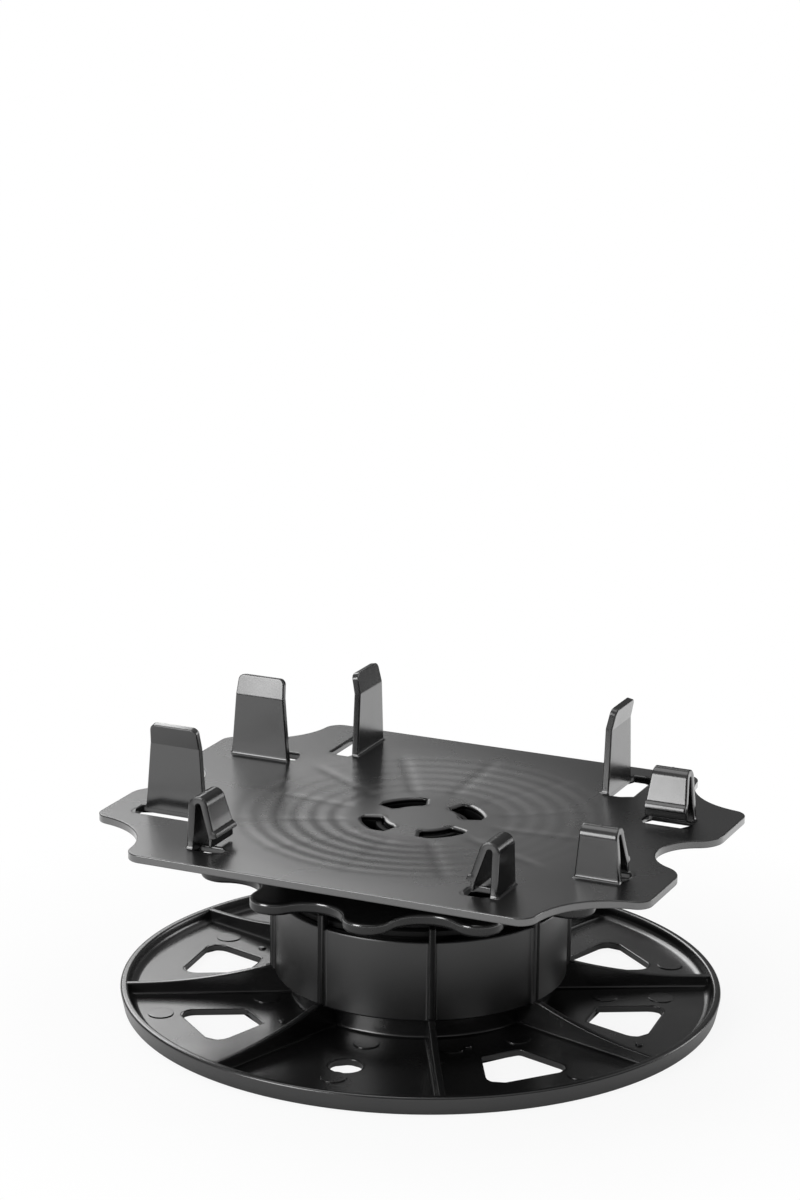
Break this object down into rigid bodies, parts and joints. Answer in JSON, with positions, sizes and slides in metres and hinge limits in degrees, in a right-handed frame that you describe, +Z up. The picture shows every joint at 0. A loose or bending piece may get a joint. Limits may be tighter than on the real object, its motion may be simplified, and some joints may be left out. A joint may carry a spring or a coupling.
{
  "type": "adjustable support pedestal",
  "caption": "Black plastic screw-adjustable support pedestal: ribbed round base, threaded tower, lobed hand wheel, and a swivelling joist plate with sprung tabs and clips.",
  "frame": {"origin": "centre of the base's underside, on the ground it stands on", "axes": "+Z up along the screw axis, +X along the joist plate's long straight edges, the clips with their width along Y on the -Y side"},
  "size_m": [0.2026, 0.2026, 0.0941],
  "materials": {
    "black_plastic": "satin moulded polypropylene"
  },
  "bodies": {
    "base": {"base": "black_plastic"},
    "head": {"head_disc": "black_plastic"},
    "wheel": {"adjusting_wheel": "black_plastic"},
    "plate": {"joist_plate": "black_plastic"},
    "tab_1": {"guide_tab_1": "black_plastic"},
    "tab_2": {"guide_tab_2": "black_plastic"},
    "tab_3": {"guide_tab_3": "black_plastic"},
    "tab_4": {"guide_tab_4": "black_plastic"},
    "leg_1": {"clip_leg_1": "black_plastic"},
    "leg_2": {"clip_leg_2": "black_plastic"},
    "leg_3": {"clip_leg_3": "black_plastic"},
    "leg_4": {"clip_leg_4": "black_plastic"},
    "hook_1": {"snap_hook_1": "black_plastic"},
    "hook_2": {"snap_hook_2": "black_plastic"},
    "hook_3": {"snap_hook_3": "black_plastic"},
    "hook_4": {"snap_hook_4": "black_plastic"}
  },
  "joints": [
    {"name": "height_slide", "type": "slide", "parent": "base", "child": "head", "axis": [0, 0, 1], "range_m": [-0.00401, 0.01201]},
    {"name": "wheel_turn", "type": "hinge", "parent": "head", "child": "wheel", "pos_m": [0, 0, 0.05], "axis": [0, 0, 1], "range_deg": [-240, 720]},
    {"name": "plate_swivel", "type": "hinge", "parent": "head", "child": "plate", "pos_m": [0, 0, 0.0621], "axis": [0, 0, 1], "continuous": true},
    {"name": "tab_1_flex", "type": "hinge", "parent": "plate", "child": "tab_1", "pos_m": [-0.076, -0.0314, 0.0648], "axis": [1, 0, 0], "range_deg": [0, 5], "stiffness_Nm_per_rad": 1.5},
    {"name": "tab_2_flex", "type": "hinge", "parent": "plate", "child": "tab_2", "pos_m": [-0.076, 0.0314, 0.0648], "axis": [-1, 0, 0], "range_deg": [0, 5], "stiffness_Nm_per_rad": 1.5},
    {"name": "tab_3_flex", "type": "hinge", "parent": "plate", "child": "tab_3", "pos_m": [-0.047, 0.058, 0.0648], "axis": [0, -1, 0], "range_deg": [0, 5], "stiffness_Nm_per_rad": 1.5},
    {"name": "tab_4_flex", "type": "hinge", "parent": "plate", "child": "tab_4", "pos_m": [0.047, 0.058, 0.0648], "axis": [0, 1, 0], "range_deg": [0, 5], "stiffness_Nm_per_rad": 1.5},
    {"name": "leg_1_flex", "type": "hinge", "parent": "plate", "child": "leg_1", "pos_m": [-0.04909, -0.058, 0.07961], "axis": [0, 1, 0], "range_deg": [0, 12], "stiffness_Nm_per_rad": 0.4},
    {"name": "leg_2_flex", "type": "hinge", "parent": "plate", "child": "leg_2", "pos_m": [0.04909, -0.058, 0.07961], "axis": [0, -1, 0], "range_deg": [0, 12], "stiffness_Nm_per_rad": 0.4},
    {"name": "leg_3_flex", "type": "hinge", "parent": "plate", "child": "leg_3", "pos_m": [0.076, -0.03109, 0.07961], "axis": [-1, 0, 0], "range_deg": [0, 12], "stiffness_Nm_per_rad": 0.4},
    {"name": "leg_4_flex", "type": "hinge", "parent": "plate", "child": "leg_4", "pos_m": [0.076, 0.03109, 0.07961], "axis": [1, 0, 0], "range_deg": [0, 12], "stiffness_Nm_per_rad": 0.4},
    {"name": "hook_1_flex", "type": "hinge", "parent": "plate", "child": "hook_1", "pos_m": [0.00841, 0.00841, 0.0621], "axis": [-0.7071, 0.7071, 0], "range_deg": [0, 8], "stiffness_Nm_per_rad": 0.6},
    {"name": "hook_2_flex", "type": "hinge", "parent": "plate", "child": "hook_2", "pos_m": [-0.00841, 0.00841, 0.0621], "axis": [-0.7071, -0.7071, 0], "range_deg": [0, 8], "stiffness_Nm_per_rad": 0.6},
    {"name": "hook_3_flex", "type": "hinge", "parent": "plate", "child": "hook_3", "pos_m": [-0.00841, -0.00841, 0.0621], "axis": [0.7071, -0.7071, 0], "range_deg": [0, 8], "stiffness_Nm_per_rad": 0.6},
    {"name": "hook_4_flex", "type": "hinge", "parent": "plate", "child": "hook_4", "pos_m": [0.00841, -0.00841, 0.0621], "axis": [0.7071, 0.7071, 0], "range_deg": [0, 8], "stiffness_Nm_per_rad": 0.6}
  ],
  "couplings": [
    {"joint": "height_slide", "follows": "wheel_turn", "m_per_rad": 0.00095493}
  ]
}
